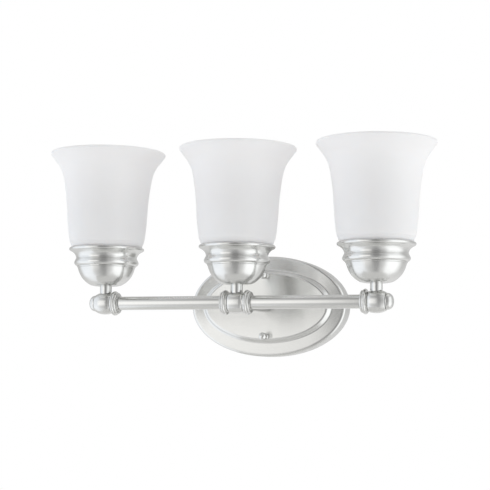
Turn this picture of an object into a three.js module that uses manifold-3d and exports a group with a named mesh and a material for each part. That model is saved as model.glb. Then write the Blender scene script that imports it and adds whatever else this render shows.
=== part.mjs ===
// Three-lamp vanity light bar: an oval wall plate, an arm, a horizontal bar of two tubes and three hubs,
// and on each hub a stem, a spun cup, a lampholder, a screw-base bulb and a glass bell shade that opens up.
// Millimetres. +X runs along the bar, +Z is up and the wall is the plane Y = 0, with the room at Y < 0.
import * as THREE from "three";
import { mergeVertices } from "three/addons/utils/BufferGeometryUtils.js";
import Module from "manifold-3d";

const wasm = await Module();
wasm.setup();

// ---- driving dimensions ----
const GAP = 0.3; // clearance kept between touching pieces
const LAMP_PITCH = 166.6; // from one lamp's axis to the next
const BAR_REACH = 142.7; // from the wall to the bar's axis
const BAR_DROP = 1.4; // the bar's axis hangs this far below the plate's centre
const TUBE_R = 7.97; // bar and arm tube, 5/8 inch stock
const TUBE_WALL = 1.15;

const PLATE_HALF_W = 100.4; // oval wall plate
const PLATE_HALF_H = 62.6;
const PLATE_RING_DEPTH = 24.2; // wall to the outer ring's front edge
const PLATE_FACE_DEPTH = 30.4; // wall to the raised inner oval
const PLATE_FACE_INSET = 22.2; // plate edge to the flat of the inner oval
const PLATE_STEP_W = 5; // the slope between the ring and the inner oval
const PLATE_RING_RISE = 1; // the ring leans out a little towards that slope
const PLATE_SHEET = 1.2;
const STUD_HEIGHT = 38; // studs stand this far above and below the plate's centre
const STUD_R = 2.08; // 8-32 machine thread
const STUD_LENGTH = 41;

const STRAP_SHEET = 2;
const SLOT_NEAR = 35; // the outlet-box slots run from here to SLOT_FAR, centre to centre
const SLOT_FAR = 44.5;
const SLOT_R = 2.6;

const PIPE_R = 5; // small threaded nipples (1/8 pipe thread)
const PIPE_BORE_R = 3.5;
const ARM_PIPE_R = 6.5; // the arm's two nipples (1/4 pipe thread)
const ARM_PIPE_BORE_R = 4.6;
const LEAD_R = 1.5; // one lamp's pair of lead wires

const HUB_R = 12.7; // barrel of the centre hub
const END_HUB_R = 13.2; // ball of an end hub
const RING_IN = 9.3; // ring ends, measured from the lamp's axis
const RING_OUT = 18.7;
const RING_MIDDLE = 14.3; // middle of the ring's full round edge
const RING_ROUND = 2.2;
const RING_R = 14.6;
const TUBE_START = RING_OUT + GAP;
const PIPE_START = 7.6; // a bar nipple starts this far from the lamp's axis
const PIPE_END = 27;

const CAP_NUT_BALL_R = 4.85;
const CAP_NUT_COLLAR_R = 4;
const CAP_NUT_NECK_R = 3.1;
const CAP_NUT_REACH = 12.2; // from the nut's back to the middle of its ball
const GROUND_HEAD_R = 4.4;
const LOCK_NUT_FLATS = 19;
const LOCK_NUT_THICK = 2.8;

const STEM_R = 7.1;
const CUP_BASE = 21; // heights above the bar's axis, here and below
const SHADE_FLOOR = 64.5;
const SHADE_TOP = 183;
const SHADE_WALL = 3.4;
const SHADE_HOLE_R = 21;
const SOCKET_R = 19.6;
const SOCKET_TOP = 77;
const BULB_TIP = 51.5;
const BULB_R = 30;
const BULB_CROWN = 128; // middle of the bulb's ball
const BULB_CAP_R = 12.9;
const BULB_CAP_TOP = 79.4;

const LARGE_SIDES = 20; // facets round a cup, shade or ring
const MEDIUM_SIDES = 18; // round a hub
const SMALL_SIDES = 16; // round a tube or a lampholder
const TINY_SIDES = 12; // round a screw, nut or arm nipple
const PIPE_SIDES = 10; // round a small nipple
const PLATE_SIDES = 32;

const LAMPS = { left: -LAMP_PITCH, centre: 0, right: LAMP_PITCH };

// ---- materials ----
function finish(color, roughness, metalness) {
  return new THREE.MeshStandardMaterial({ color, roughness, metalness });
}

const satinNickel = () => finish(0xc9c9c4, 0.32, 1);
const zincSteel = () => finish(0xb4b6b8, 0.42, 1);
const brass = () => finish(0xc9a55c, 0.35, 1);
const aluminium = () => finish(0xc8cacc, 0.3, 1);
const porcelain = () => finish(0xf1eee6, 0.25, 0);
const greenSteel = () => finish(0x2f7a45, 0.4, 0.6);
const leadSleeve = () => finish(0x26262a, 0.5, 0);
const opalGlass = () => finish(0xf2f0ef, 0.45, 0);
const bulbGlass = () => finish(0xf6f4ee, 0.35, 0);

// ---- shaping ----
// A turned piece. The profile is a list of [radius, height], up the outside and back down the inside,
// that starts and ends on the axis or returns to its first point. It is turned about +Y.
function turned(profile, sides) {
  return new THREE.LatheGeometry(profile.map(([r, h]) => new THREE.Vector2(r, h)), sides);
}

// Points of an arc from one angle to another, in degrees, both ends included.
function arc(r, h, radius, from, to, steps) {
  return Array.from({ length: steps + 1 }, (_, i) => {
    const a = THREE.MathUtils.degToRad(from + ((to - from) * i) / steps);
    return [r + radius * Math.cos(a), h + radius * Math.sin(a)];
  });
}

// The same outline seen from the other end, for a piece that faces the other way.
function flipped(profile) {
  return profile.map(([r, h]) => [r, -h]).reverse();
}

// The profile of a plain sleeve.
function sleeve(outer, inner, low, high) {
  return [[inner, low], [outer, low], [outer, high], [inner, high], [inner, low]];
}

// A turned piece stands along +Y: these turn that direction up, along the bar, or out from the wall.
const up = (geometry) => geometry.rotateX(Math.PI / 2);
const alongBar = (geometry) => geometry.rotateZ(-Math.PI / 2);
const outFromWall = (geometry) => geometry.rotateX(Math.PI);

function asSolid(geometry) {
  const plain = geometry.clone();
  plain.deleteAttribute("normal");
  plain.deleteAttribute("uv");
  const merged = mergeVertices(plain, 1e-3);
  return new wasm.Manifold(
    new wasm.Mesh({
      numProp: 3,
      vertProperties: new Float32Array(merged.attributes.position.array),
      triVerts: new Uint32Array(merged.index.array),
    }),
  );
}

function asGeometry(solid) {
  const mesh = solid.getMesh();
  const geometry = new THREE.BufferGeometry();
  geometry.setAttribute("position", new THREE.BufferAttribute(mesh.vertProperties, 3));
  geometry.setIndex(new THREE.BufferAttribute(mesh.triVerts, 1));
  geometry.computeVertexNormals();
  return geometry;
}

// The geometry less every cutter.
function cut(geometry, ...cutters) {
  return asGeometry(cutters.reduce((solid, cutter) => solid.subtract(asSolid(cutter)), asSolid(geometry)));
}

// A plain round cutter from one height to another.
function drill(radius, low, high, sides = TINY_SIDES) {
  return turned([[0, low], [radius, low], [radius, high], [0, high]], sides);
}

function hexagon(acrossFlats) {
  const radius = acrossFlats / Math.sqrt(3);
  const corners = Array.from({ length: 6 }, (_, i) => {
    const a = (i * Math.PI) / 3;
    return new THREE.Vector2(radius * Math.cos(a), radius * Math.sin(a));
  });
  return new THREE.Shape(corners);
}

// ---- wall side ----
// A stamped steel pan. A turned profile is stretched sideways into an oval of even rim width.
function backplate() {
  const edge = PLATE_HALF_H;
  const corner = 3.6;
  const face = edge - PLATE_FACE_INSET;
  const foot = face + PLATE_STEP_W;
  const footDepth = PLATE_RING_DEPTH + PLATE_RING_RISE;
  const front = [
    [edge, 0],
    ...arc(edge - corner, PLATE_RING_DEPTH - corner, corner, 0, 80, 2),
    [foot, footDepth],
    [face + 1.3, PLATE_FACE_DEPTH - 0.6],
    [face, PLATE_FACE_DEPTH],
    [0, PLATE_FACE_DEPTH],
  ];
  const back = [
    [0, PLATE_FACE_DEPTH - PLATE_SHEET],
    [face, PLATE_FACE_DEPTH - PLATE_SHEET],
    [foot - 0.4, footDepth - PLATE_SHEET],
    [edge - corner, PLATE_RING_DEPTH - PLATE_SHEET],
    [edge - PLATE_SHEET, PLATE_RING_DEPTH - corner],
    [edge - PLATE_SHEET, 0],
    [edge, 0],
  ];
  const pan = turned([...front, ...back], PLATE_SIDES);
  const position = pan.getAttribute("position");
  for (let i = 0; i < position.count; i += 1) {
    const radius = Math.hypot(position.getX(i), position.getZ(i));
    if (radius > 1) {
      position.setX(i, position.getX(i) * (1 + (PLATE_HALF_W - PLATE_HALF_H) / radius));
    }
  }
  const low = PLATE_FACE_DEPTH - 2 * PLATE_SHEET;
  const high = PLATE_FACE_DEPTH + PLATE_SHEET;
  const holes = [drill(ARM_PIPE_R + GAP, low, high)];
  for (const height of [-STUD_HEIGHT, STUD_HEIGHT]) {
    holes.push(drill(STUD_R + 0.5, low, high).translate(0, 0, height));
  }
  return outFromWall(cut(pan, ...holes));
}

// A cross of flat steel: the level arm has the outlet-box slots, the upright one the threaded stud holes.
function mountingStrap() {
  const halfWidth = 10;
  const levelReach = 53;
  const uprightReach = 47;
  const cross = new THREE.Shape();
  cross.moveTo(halfWidth, halfWidth);
  const arms = [[0, 1, uprightReach], [-1, 0, levelReach], [0, -1, uprightReach], [1, 0, levelReach]];
  for (const [x, y, reach] of arms) {
    const along = reach - halfWidth;
    const start = Math.atan2(-x, y);
    cross.absarc(x * along, y * along, halfWidth, start, start + Math.PI, false);
    cross.lineTo((x - y) * halfWidth, (x + y) * halfWidth);
  }
  for (const height of [STUD_HEIGHT, -STUD_HEIGHT, -STUD_HEIGHT / 2]) {
    const hole = new THREE.Path();
    hole.absarc(0, height, STUD_R + GAP, 0, 2 * Math.PI, true);
    cross.holes.push(hole);
  }
  const quarter = Math.PI / 2;
  for (const middle of [-(SLOT_NEAR + SLOT_FAR) / 2, (SLOT_NEAR + SLOT_FAR) / 2]) {
    const half = (SLOT_FAR - SLOT_NEAR) / 2;
    const slot = new THREE.Path();
    slot.absarc(middle + half, 0, SLOT_R, -quarter, quarter, false);
    slot.absarc(middle - half, 0, SLOT_R, quarter, 3 * quarter, false);
    cross.holes.push(slot);
  }
  const settings = { depth: STRAP_SHEET, bevelEnabled: false, curveSegments: 4 };
  const plate = new THREE.ExtrudeGeometry(cross, settings);
  return plate.rotateX(Math.PI / 2);
}

function stud() {
  return outFromWall(drill(STUD_R, GAP, STUD_LENGTH));
}

// The ball nut that holds the plate on a stud: a collar, a neck and a ball, with a blind threaded hole.
function capNut() {
  const back = PLATE_FACE_DEPTH + GAP;
  const ball = back + CAP_NUT_REACH;
  const bore = STUD_R + GAP;
  const profile = [
    [bore, back],
    [CAP_NUT_COLLAR_R, back],
    [CAP_NUT_COLLAR_R, back + 1.4],
    [CAP_NUT_NECK_R, back + 2.4],
    ...arc(0, ball, CAP_NUT_BALL_R, -50, 90, 5),
    [0, ball - 0.6],
    [bore, ball - 0.6],
    [bore, back],
  ];
  return outFromWall(turned(profile, TINY_SIDES));
}

function groundScrew() {
  const head = STRAP_SHEET + GAP;
  const profile = [
    [0, GAP],
    [STUD_R, GAP],
    [STUD_R, head],
    [GROUND_HEAD_R, head],
    [GROUND_HEAD_R, head + 1.6],
    [GROUND_HEAD_R - 1, head + 3],
    [0, head + 3],
  ];
  return outFromWall(turned(profile, TINY_SIDES));
}

// A round bar the size of a hub, to shape the end of a tube that meets the hub.
function hubCutter(radius) {
  return alongBar(drill(radius + GAP, -RING_IN, RING_IN, 28));
}

// Plain tube, coped at its far end to sit against the round hub.
function armTube() {
  const foot = PLATE_FACE_DEPTH + GAP;
  const tube = outFromWall(turned(sleeve(TUBE_R, TUBE_R - TUBE_WALL, foot, BAR_REACH - 6), SMALL_SIDES));
  const hubSpace = hubCutter(HUB_R).translate(0, -BAR_REACH, -BAR_DROP);
  return cut(tube, hubSpace);
}

function armNipple(low, high) {
  return outFromWall(turned(sleeve(ARM_PIPE_R, ARM_PIPE_BORE_R, low, high), TINY_SIDES));
}

function armLockNut() {
  const shape = hexagon(LOCK_NUT_FLATS);
  const hole = new THREE.Path();
  hole.absarc(0, 0, ARM_PIPE_R + GAP, 0, 2 * Math.PI, true);
  shape.holes.push(hole);
  const settings = { depth: LOCK_NUT_THICK, bevelEnabled: false, curveSegments: 8 };
  const nut = new THREE.ExtrudeGeometry(shape, settings);
  const front = PLATE_FACE_DEPTH - PLATE_SHEET - GAP;
  return nut.rotateX(Math.PI / 2).translate(0, LOCK_NUT_THICK - front, 0);
}

// ---- bar ----
// Turned hub with a bore along the bar and one up into the stem; the centre hub has one from behind too.
function hub(profile, fromBehind) {
  const reach = 14;
  const cutters = [
    alongBar(drill(PIPE_R + GAP, -reach, reach)),
    up(drill(PIPE_R + GAP, 0, reach)),
  ];
  if (fromBehind) {
    cutters.push(outFromWall(drill(ARM_PIPE_R + GAP, -reach, 0)).translate(0, 0, BAR_DROP));
  }
  return cut(alongBar(turned(profile, MEDIUM_SIDES)), ...cutters);
}

function centreHub() {
  const end = RING_IN - GAP;
  const half = [[11.5, end], [12.2, 7.5], [HUB_R, 0]];
  const mirrored = half.slice(0, -1).map(([r, h]) => [r, -h]);
  return hub([[0, -end], ...mirrored, ...half.reverse(), [0, end]], true);
}

function endHub(outward) {
  const inner = GAP - RING_IN;
  const ball = [[11.3, inner], [12.85, -4.5], [END_HUB_R, 0], [12.85, 4.5], [11.8, 8.5], [10.6, 11.4]];
  const profile = [[0, inner], ...ball, [0, 11.4]];
  return hub(outward > 0 ? profile : flipped(profile), false);
}

// A turned ring with a full round edge, a flared shoulder on the hub's side and a collar on the tube's.
function ring(side) {
  const profile = [
    [PIPE_R + GAP, RING_IN],
    [11.2, RING_IN],
    [12.5, RING_IN + 2.3],
    ...arc(RING_R - RING_ROUND, RING_MIDDLE, RING_ROUND, -70, 80, 4),
    [10.7, RING_MIDDLE + RING_ROUND + 0.2],
    [10.4, RING_OUT],
    [PIPE_R + GAP, RING_OUT],
    [PIPE_R + GAP, RING_IN],
  ];
  return alongBar(turned(side > 0 ? profile : flipped(profile), MEDIUM_SIDES));
}

// The tube's wall is thicker at its ends, where inserts are brazed in for the nipples.
function barTube() {
  const half = LAMP_PITCH / 2 - TUBE_START;
  const insert = 9;
  const bore = TUBE_R - TUBE_WALL;
  const profile = [
    [PIPE_R + GAP, -half],
    [TUBE_R, -half],
    [TUBE_R, half],
    [PIPE_R + GAP, half],
    [PIPE_R + GAP, half - insert],
    [bore, half - insert],
    [bore, insert - half],
    [PIPE_R + GAP, insert - half],
    [PIPE_R + GAP, -half],
  ];
  return alongBar(turned(profile, SMALL_SIDES));
}

function barNipple(side) {
  const [low, high] = side > 0 ? [PIPE_START, PIPE_END] : [-PIPE_END, -PIPE_START];
  return alongBar(turned(sleeve(PIPE_R, PIPE_BORE_R, low, high), PIPE_SIDES));
}

// Domed cap with a spigot that screws into the end hub.
function endCap(outward) {
  const seat = 11.7;
  const profile = [
    [0, PIPE_START + GAP],
    [PIPE_R, PIPE_START + GAP],
    [PIPE_R, seat],
    [9.6, seat],
    [9.6, 13.6],
    [8.8, 16],
    [6.6, 18.3],
    [3.4, 19.6],
    [0, 19.9],
  ];
  return alongBar(turned(outward > 0 ? profile : flipped(profile), MEDIUM_SIDES));
}

// ---- one lamp, heights above the bar's axis ----
// Short tube, coped at the bottom to sit on the round hub.
function stem() {
  const tube = up(turned(sleeve(STEM_R, PIPE_R + GAP, 8, CUP_BASE - GAP), SMALL_SIDES));
  return cut(tube, hubCutter(END_HUB_R));
}

function stemNipple() {
  return up(turned(sleeve(PIPE_R, PIPE_BORE_R, 6.5, 33), PIPE_SIDES));
}

// One spun shell: bowl, step, bead, cove and a rolled lip.
function cup() {
  const sheet = 1;
  const roll = { r: 43, h: 65, radius: 2 };
  const hole = PIPE_R + GAP;
  const outside = [
    [hole, CUP_BASE],
    [15, CUP_BASE],
    [21, 23.3],
    [27.5, 28.9],
    [31.6, 35],
    [34.4, 43.2],
    [37.5, 45.3],
    [38.7, 48.9],
    [36.6, 53.4],
    [36.8, 56.2],
    [40.4, 61.4],
    ...arc(roll.r, roll.h, roll.radius, -80, 150, 4),
  ];
  const inside = [
    [37.2, 60],
    [35.5, 54.8],
    [37.3, 48.9],
    [33.2, 44.2],
    [29.9, 34.6],
    [20.8, 24.8],
    [14.8, CUP_BASE + sheet],
    [hole, CUP_BASE + sheet],
    [hole, CUP_BASE],
  ];
  return up(turned([...outside, ...inside], LARGE_SIDES));
}

// Glazed lampholder: a round body with a pocket for the screw shell and a wiring space below it.
function socketBody() {
  const base = 27;
  const web = 46.5;
  const seat = 49.5;
  const pocket = 14.4;
  const profile = [
    [PIPE_R + GAP, base],
    [14, base],
    [SOCKET_R, 39],
    [SOCKET_R, SOCKET_TOP],
    [pocket, SOCKET_TOP],
    [pocket, seat],
    [2.5, seat],
    [2.5, web],
    [10.5, web],
    [10.5, 31],
    [PIPE_R + GAP, 30],
    [PIPE_R + GAP, base],
  ];
  return up(turned(profile, SMALL_SIDES));
}

function socketShell() {
  const outer = 14.1;
  const inner = 13.35;
  const floor = 49.8;
  const top = 75.5;
  const sheet = outer - inner;
  const profile = [
    [inner, floor + sheet],
    [7.5, floor + sheet],
    [7.5, floor],
    [outer, floor],
    [outer, top],
    [inner, top],
    [inner, floor + sheet],
  ];
  return up(turned(profile, SMALL_SIDES));
}

// Centre contact: a rivet through the lampholder's floor with a head above and a terminal below.
function socketContact() {
  const shank = 2.1;
  const head = 4.4;
  const tail = 4;
  const profile = [
    [0, 45],
    [tail, 45],
    [tail, 46.2],
    [shank, 46.2],
    [shank, 49.8],
    [head, 49.8],
    [head, 51],
    [0, 51.2],
  ];
  return up(turned(profile, 8));
}

function retainingRing() {
  const seat = SHADE_FLOOR + SHADE_WALL + GAP;
  const top = SOCKET_TOP - 1;
  const bore = SOCKET_R + 0.35;
  const flange = 25.6;
  const collar = 22.8;
  const profile = [
    [bore, seat],
    [flange, seat],
    [flange, seat + 2],
    [collar, seat + 2.8],
    [collar, top],
    [bore, top],
    [bore, seat],
  ];
  return up(turned(profile, LARGE_SIDES));
}

// A blown glass bell with a flat floor and a round fitter hole, open at the top.
function shade() {
  const corner = 6;
  const wall = [
    [45.4, 77],
    [47.2, 93],
    [49.2, 121],
    [51.5, 140.5],
    [54.1, 153],
    [57.6, 163.5],
    [62.4, 171],
    [67.4, 177.1],
  ];
  const lip = SHADE_WALL / 2;
  const outside = [
    [SHADE_HOLE_R, SHADE_FLOOR],
    ...arc(36.8, SHADE_FLOOR + corner, corner, -90, 0, 2),
    ...wall,
    ...arc(70 - lip, SHADE_TOP - lip, lip, 0, 180, 2),
  ];
  const inside = [
    [60.2, 174],
    [54.6, 165.4],
    [50.8, 154],
    [48.1, 141],
    [45.8, 121],
    [43.8, 93],
    [41.6, 75],
    [37.6, SHADE_FLOOR + SHADE_WALL],
    [SHADE_HOLE_R, SHADE_FLOOR + SHADE_WALL],
    [SHADE_HOLE_R, SHADE_FLOOR],
  ];
  return up(turned([...outside, ...inside], LARGE_SIDES));
}

// Screw cap of the bulb: a metal cup with its contact at the bottom.
function bulbBase() {
  const floor = 60;
  const inner = BULB_CAP_R - 0.7;
  const profile = [
    [0, BULB_TIP],
    [4, BULB_TIP],
    [5, BULB_TIP + 2],
    [BULB_CAP_R, BULB_TIP + 6],
    [BULB_CAP_R, BULB_CAP_TOP],
    [inner, BULB_CAP_TOP],
    [inner, floor],
    [0, floor],
  ];
  return up(turned(profile, SMALL_SIDES));
}

// Blown envelope, open at the neck where it is cemented into its cap.
function bulbEnvelope() {
  const neckR = 11.8;
  const foot = 64;
  const sheet = 1;
  const outside = [
    [neckR, foot],
    [neckR, BULB_CAP_TOP + 0.6],
    [14, 87],
    [25.2, 113],
    ...arc(0, BULB_CROWN, BULB_R, -10, 90, 4),
  ];
  const inside = [
    ...arc(0, BULB_CROWN, BULB_R - sheet, 90, -10, 3),
    [24.1, 113.4],
    [13, 87.4],
    [neckR - sheet, foot],
    [neckR, foot],
  ];
  return up(turned([...outside, ...inside], SMALL_SIDES));
}

// ---- lead wires ----
// The pair of wires of one lamp, drawn as one round sleeve along its whole route: down the stem,
// along the bar, back through the arm and out into the hollow of the plate.
function lead(points) {
  const route = new THREE.CatmullRomCurve3(points.map((p) => new THREE.Vector3(...p)), false, "centripetal");
  const section = new THREE.Shape();
  section.absarc(0, 0, LEAD_R, 0, 2 * Math.PI, false);
  route.getUtoTmapping = (share) => share; // two steps between points, so that tight bends get short ones
  const steps = 2 * (points.length - 1);
  return new THREE.ExtrudeGeometry(section, { steps, curveSegments: 3, extrudePath: route });
}

// A route's points are given as across, out from the wall, and up from the bar's axis.
function routed(points) {
  return lead(points.map(([x, out, z]) => [x, -out, z - BAR_DROP]));
}

// Side leads come along the bar; side is -1 for the left lamp and 1 for the right one.
function sideLead(side) {
  const points = [
    [LAMP_PITCH, BAR_REACH, 44],
    [LAMP_PITCH, BAR_REACH, 30],
    [LAMP_PITCH, BAR_REACH, 9],
    [LAMP_PITCH - 1.3, BAR_REACH, 3.4],
    [LAMP_PITCH - 4.6, BAR_REACH, 0.5],
    [LAMP_PITCH - 12, BAR_REACH, 0],
    [LAMP_PITCH / 2, BAR_REACH, 0],
    [12, BAR_REACH, 0],
    [5.6, BAR_REACH - 0.9, -0.5],
    [2.5, BAR_REACH - 4.4, 0],
    [1.9, BAR_REACH - 12, 0.4],
    [1.9, BAR_REACH - 20, 0.4],
    [1.9, 26, 0.4],
    [1.9, 21, 0.4],
    [3.6, 16, -4],
    [10, 11, -13],
    [15, 9, -31],
  ];
  return routed(points.map(([x, out, z]) => [side * x, out, z]));
}

function centreLead() {
  return routed([
    [0, BAR_REACH, 44],
    [0, BAR_REACH, 30],
    [0, BAR_REACH, 10],
    [0, BAR_REACH - 1.2, 5.4],
    [0, BAR_REACH - 4.6, 3.7],
    [0, BAR_REACH - 12, 3.6],
    [0, BAR_REACH - 20, 3.6],
    [0, 26, 3.6],
    [0, 21, 3.6],
    [2, 16, 6.4],
    [7, 11, 15],
    [9, 9, 33],
  ]);
}

// ---- assembly ----
const lightBar = new THREE.Group();

function add(group, name, geometry, material) {
  const mesh = new THREE.Mesh(geometry, material);
  mesh.name = name;
  group.add(mesh);
  return mesh;
}

add(lightBar, "backplate", backplate(), satinNickel());
add(lightBar, "mounting_strap", mountingStrap(), zincSteel());
add(lightBar, "ground_screw", groundScrew(), greenSteel()).position.z = -STUD_HEIGHT / 2;
for (const [end, height] of [["upper", STUD_HEIGHT], ["lower", -STUD_HEIGHT]]) {
  add(lightBar, "stud_" + end, stud(), zincSteel()).position.z = height;
  add(lightBar, "cap_nut_" + end, capNut(), satinNickel()).position.z = height;
}
add(lightBar, "arm_tube", armTube(), satinNickel());
add(lightBar, "arm_nipple_plate", armNipple(22.5, 42), zincSteel());
add(lightBar, "arm_nipple_hub", armNipple(BAR_REACH - 25, BAR_REACH - 7.9), zincSteel());
add(lightBar, "arm_lock_nut", armLockNut(), zincSteel());

const bar = new THREE.Group();
bar.position.set(0, -BAR_REACH, -BAR_DROP);
lightBar.add(bar);
add(bar, "hub_centre", centreHub(), satinNickel());
for (const [side, x] of [["left", -1], ["right", 1]]) {
  add(bar, "ring_centre_" + side, ring(x), satinNickel());
  add(bar, "bar_nipple_centre_" + side, barNipple(x), zincSteel());
  add(bar, "bar_tube_" + side, barTube(), satinNickel()).position.x = (x * LAMP_PITCH) / 2;
  const end = new THREE.Group();
  end.position.x = x * LAMP_PITCH;
  bar.add(end);
  add(end, "ring_" + side, ring(-x), satinNickel());
  add(end, "bar_nipple_" + side, barNipple(-x), zincSteel());
  add(end, "hub_" + side, endHub(x), satinNickel());
  add(end, "end_cap_" + side, endCap(x), satinNickel());
}

for (const [name, x] of Object.entries(LAMPS)) {
  const lamp = new THREE.Group();
  lamp.position.x = x;
  bar.add(lamp);
  add(lamp, "stem_" + name, stem(), satinNickel());
  add(lamp, "stem_nipple_" + name, stemNipple(), zincSteel());
  add(lamp, "cup_" + name, cup(), satinNickel());
  add(lamp, "socket_body_" + name, socketBody(), porcelain());
  add(lamp, "socket_shell_" + name, socketShell(), aluminium());
  add(lamp, "socket_contact_" + name, socketContact(), brass());
  add(lamp, "retaining_ring_" + name, retainingRing(), aluminium());
  add(lamp, "shade_" + name, shade(), opalGlass());
  add(lamp, "bulb_base_" + name, bulbBase(), brass());
  add(lamp, "bulb_glass_" + name, bulbEnvelope(), bulbGlass());
}

add(lightBar, "lead_left", sideLead(-1), leadSleeve());
add(lightBar, "lead_centre", centreLead(), leadSleeve());
add(lightBar, "lead_right", sideLead(1), leadSleeve());

export default lightBar;
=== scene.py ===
# Three-lamp vanity light bar: satin nickel and opal glass, built outwards from the wall.
import math

import bpy
from mathutils import Matrix, Vector


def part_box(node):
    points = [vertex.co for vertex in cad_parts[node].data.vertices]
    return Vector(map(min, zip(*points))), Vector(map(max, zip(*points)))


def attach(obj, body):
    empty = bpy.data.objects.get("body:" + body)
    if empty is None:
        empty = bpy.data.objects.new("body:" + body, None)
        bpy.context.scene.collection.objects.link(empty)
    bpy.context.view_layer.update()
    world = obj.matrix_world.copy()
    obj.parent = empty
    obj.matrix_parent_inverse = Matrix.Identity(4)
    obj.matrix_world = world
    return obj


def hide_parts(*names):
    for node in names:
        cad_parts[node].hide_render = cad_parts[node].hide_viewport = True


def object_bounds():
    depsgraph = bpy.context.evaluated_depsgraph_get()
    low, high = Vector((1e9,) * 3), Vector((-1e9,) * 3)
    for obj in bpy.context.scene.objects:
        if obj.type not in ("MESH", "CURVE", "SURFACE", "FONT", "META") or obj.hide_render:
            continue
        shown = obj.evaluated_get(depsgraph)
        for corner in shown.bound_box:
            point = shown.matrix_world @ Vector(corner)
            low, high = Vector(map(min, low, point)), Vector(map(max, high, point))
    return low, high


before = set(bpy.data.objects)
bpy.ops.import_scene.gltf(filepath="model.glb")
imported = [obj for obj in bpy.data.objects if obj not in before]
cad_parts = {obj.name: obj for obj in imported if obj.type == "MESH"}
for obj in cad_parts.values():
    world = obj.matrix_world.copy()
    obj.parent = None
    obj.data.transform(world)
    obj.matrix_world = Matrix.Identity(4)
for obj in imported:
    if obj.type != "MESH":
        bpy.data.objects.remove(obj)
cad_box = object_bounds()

MM = 0.001


# ---- The view ----
# A long lens stands to the right of the fixture, a little below its bar, and looks slightly up.
CAMERA_PLACE = (0.5150, -1.6447, -0.0843)
CAMERA_LENS = 100.1
CAMERA_TURN = 18.593
CAMERA_TILT = 5.408
CAMERA_ROLL = 0.565

camera = bpy.data.objects.new("camera", bpy.data.cameras.new("camera"))
bpy.context.scene.collection.objects.link(camera)
camera.data.lens = CAMERA_LENS
camera.data.sensor_width = 36
camera.data.clip_end = 50
camera.matrix_world = (
    Matrix.Translation(CAMERA_PLACE)
    @ Matrix.Rotation(math.radians(CAMERA_TURN), 4, "Z")
    @ Matrix.Rotation(math.radians(90 + CAMERA_TILT), 4, "X")
    @ Matrix.Rotation(math.radians(CAMERA_ROLL), 4, "Z")
)
bpy.context.scene.camera = camera
bpy.context.scene.view_settings.view_transform = "Standard"


# ---- The studio ----
# A white room: a soft box in front on the left, a tall white panel on each side and a dim gap where
# the camera stands, over a pale painted floor well below the fixture.
def linear(hex_colour):
    """A colour given as sRGB hex, as linear RGBA."""
    parts = [int(hex_colour[i:i + 2], 16) / 255 for i in (1, 3, 5)]
    return [c / 12.92 if c <= 0.04045 else ((c + 0.055) / 1.055) ** 2.4 for c in parts] + [1.0]


def node(tree, kind, inputs=None, **settings):
    """Adds a node with its settings; each input is a value or another node's output."""
    made = tree.nodes.new(kind)
    for name, value in settings.items():
        setattr(made, name, value)
    for key, value in (inputs or {}).items():
        if isinstance(value, bpy.types.NodeSocket):
            tree.links.new(value, made.inputs[key])
        else:
            made.inputs[key].default_value = value
    return made


studio = bpy.data.worlds.new("soft_studio")
studio.use_nodes = True
bpy.context.scene.world = studio
sky = studio.node_tree
sky.nodes.clear()
direction = node(sky, "ShaderNodeTexCoord").outputs["Generated"]
split = node(sky, "ShaderNodeSeparateXYZ", {"Vector": direction})
toward = node(sky, "ShaderNodeMath", {0: split.outputs["Y"], 1: -1.0}, operation="MULTIPLY")
turn = node(sky, "ShaderNodeMath", {0: split.outputs["X"], 1: toward.outputs[0]}, operation="ARCTAN2")
rise = node(sky, "ShaderNodeMath", {0: split.outputs["Z"]}, operation="ARCSINE")


def spread(angle, half_range, stops):
    """A level that follows an angle of the direction: stops are (degrees, level)."""
    share = node(sky, "ShaderNodeMapRange", {
        "Value": angle.outputs[0],
        "From Min": -math.radians(half_range),
        "From Max": math.radians(half_range),
    })
    made = node(sky, "ShaderNodeValToRGB", {"Fac": share.outputs[0]})
    made.color_ramp.interpolation = "EASE"
    points = made.color_ramp.elements
    while len(points) < len(stops):
        points.new(0.5)
    for point, (degrees, level) in zip(points, stops):
        point.position = 0.5 + degrees / (2 * half_range)
        point.color = (level, level, level, 1)
    return made.outputs["Color"]


# Each light of the room: its colour and level, then how it fades to the side and up and down.
# Headings are 0 straight out from the wall and 90 towards +X; heights are 0 level and 90 overhead.
ROOM_LIGHTS = {
    "walls": ("#fbfbfb", 1.0,
              [(-180, 1.2), (-120, 1.05), (-60, 1.0), (60, 1.0), (120, 1.05), (180, 1.2)],
              [(-90, 0.8), (-50, 0.8), (-30, 0.76), (-12, 0.66),
               (5, 0.57), (35, 0.56), (60, 0.6), (90, 0.7)]),
    "front_box": ("#fffefc", 0.72,
                  [(-52, 0.0), (-36, 1.0), (-12, 1.0), (0, 0.0)],
                  [(-38, 0.0), (-5, 1.0), (12, 1.0), (44, 0.0)]),
    "left_panel": ("#eaf3ff", 0.57,
                   [(-120, 0.0), (-90, 1.0), (-55, 1.0), (-28, 0.0)],
                   [(-85, 0.0), (-60, 0.7), (-20, 1.0), (35, 1.0), (60, 0.0)]),
    "right_panel": ("#fafdff", 0.72,
                    [(36, 0.0), (66, 1.0), (98, 1.0), (140, 0.0)],
                    [(-85, 0.0), (-60, 0.7), (-20, 1.0), (35, 1.0), (60, 0.0)]),
}
GAP_DIMS = 0.56
whole = None
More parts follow.
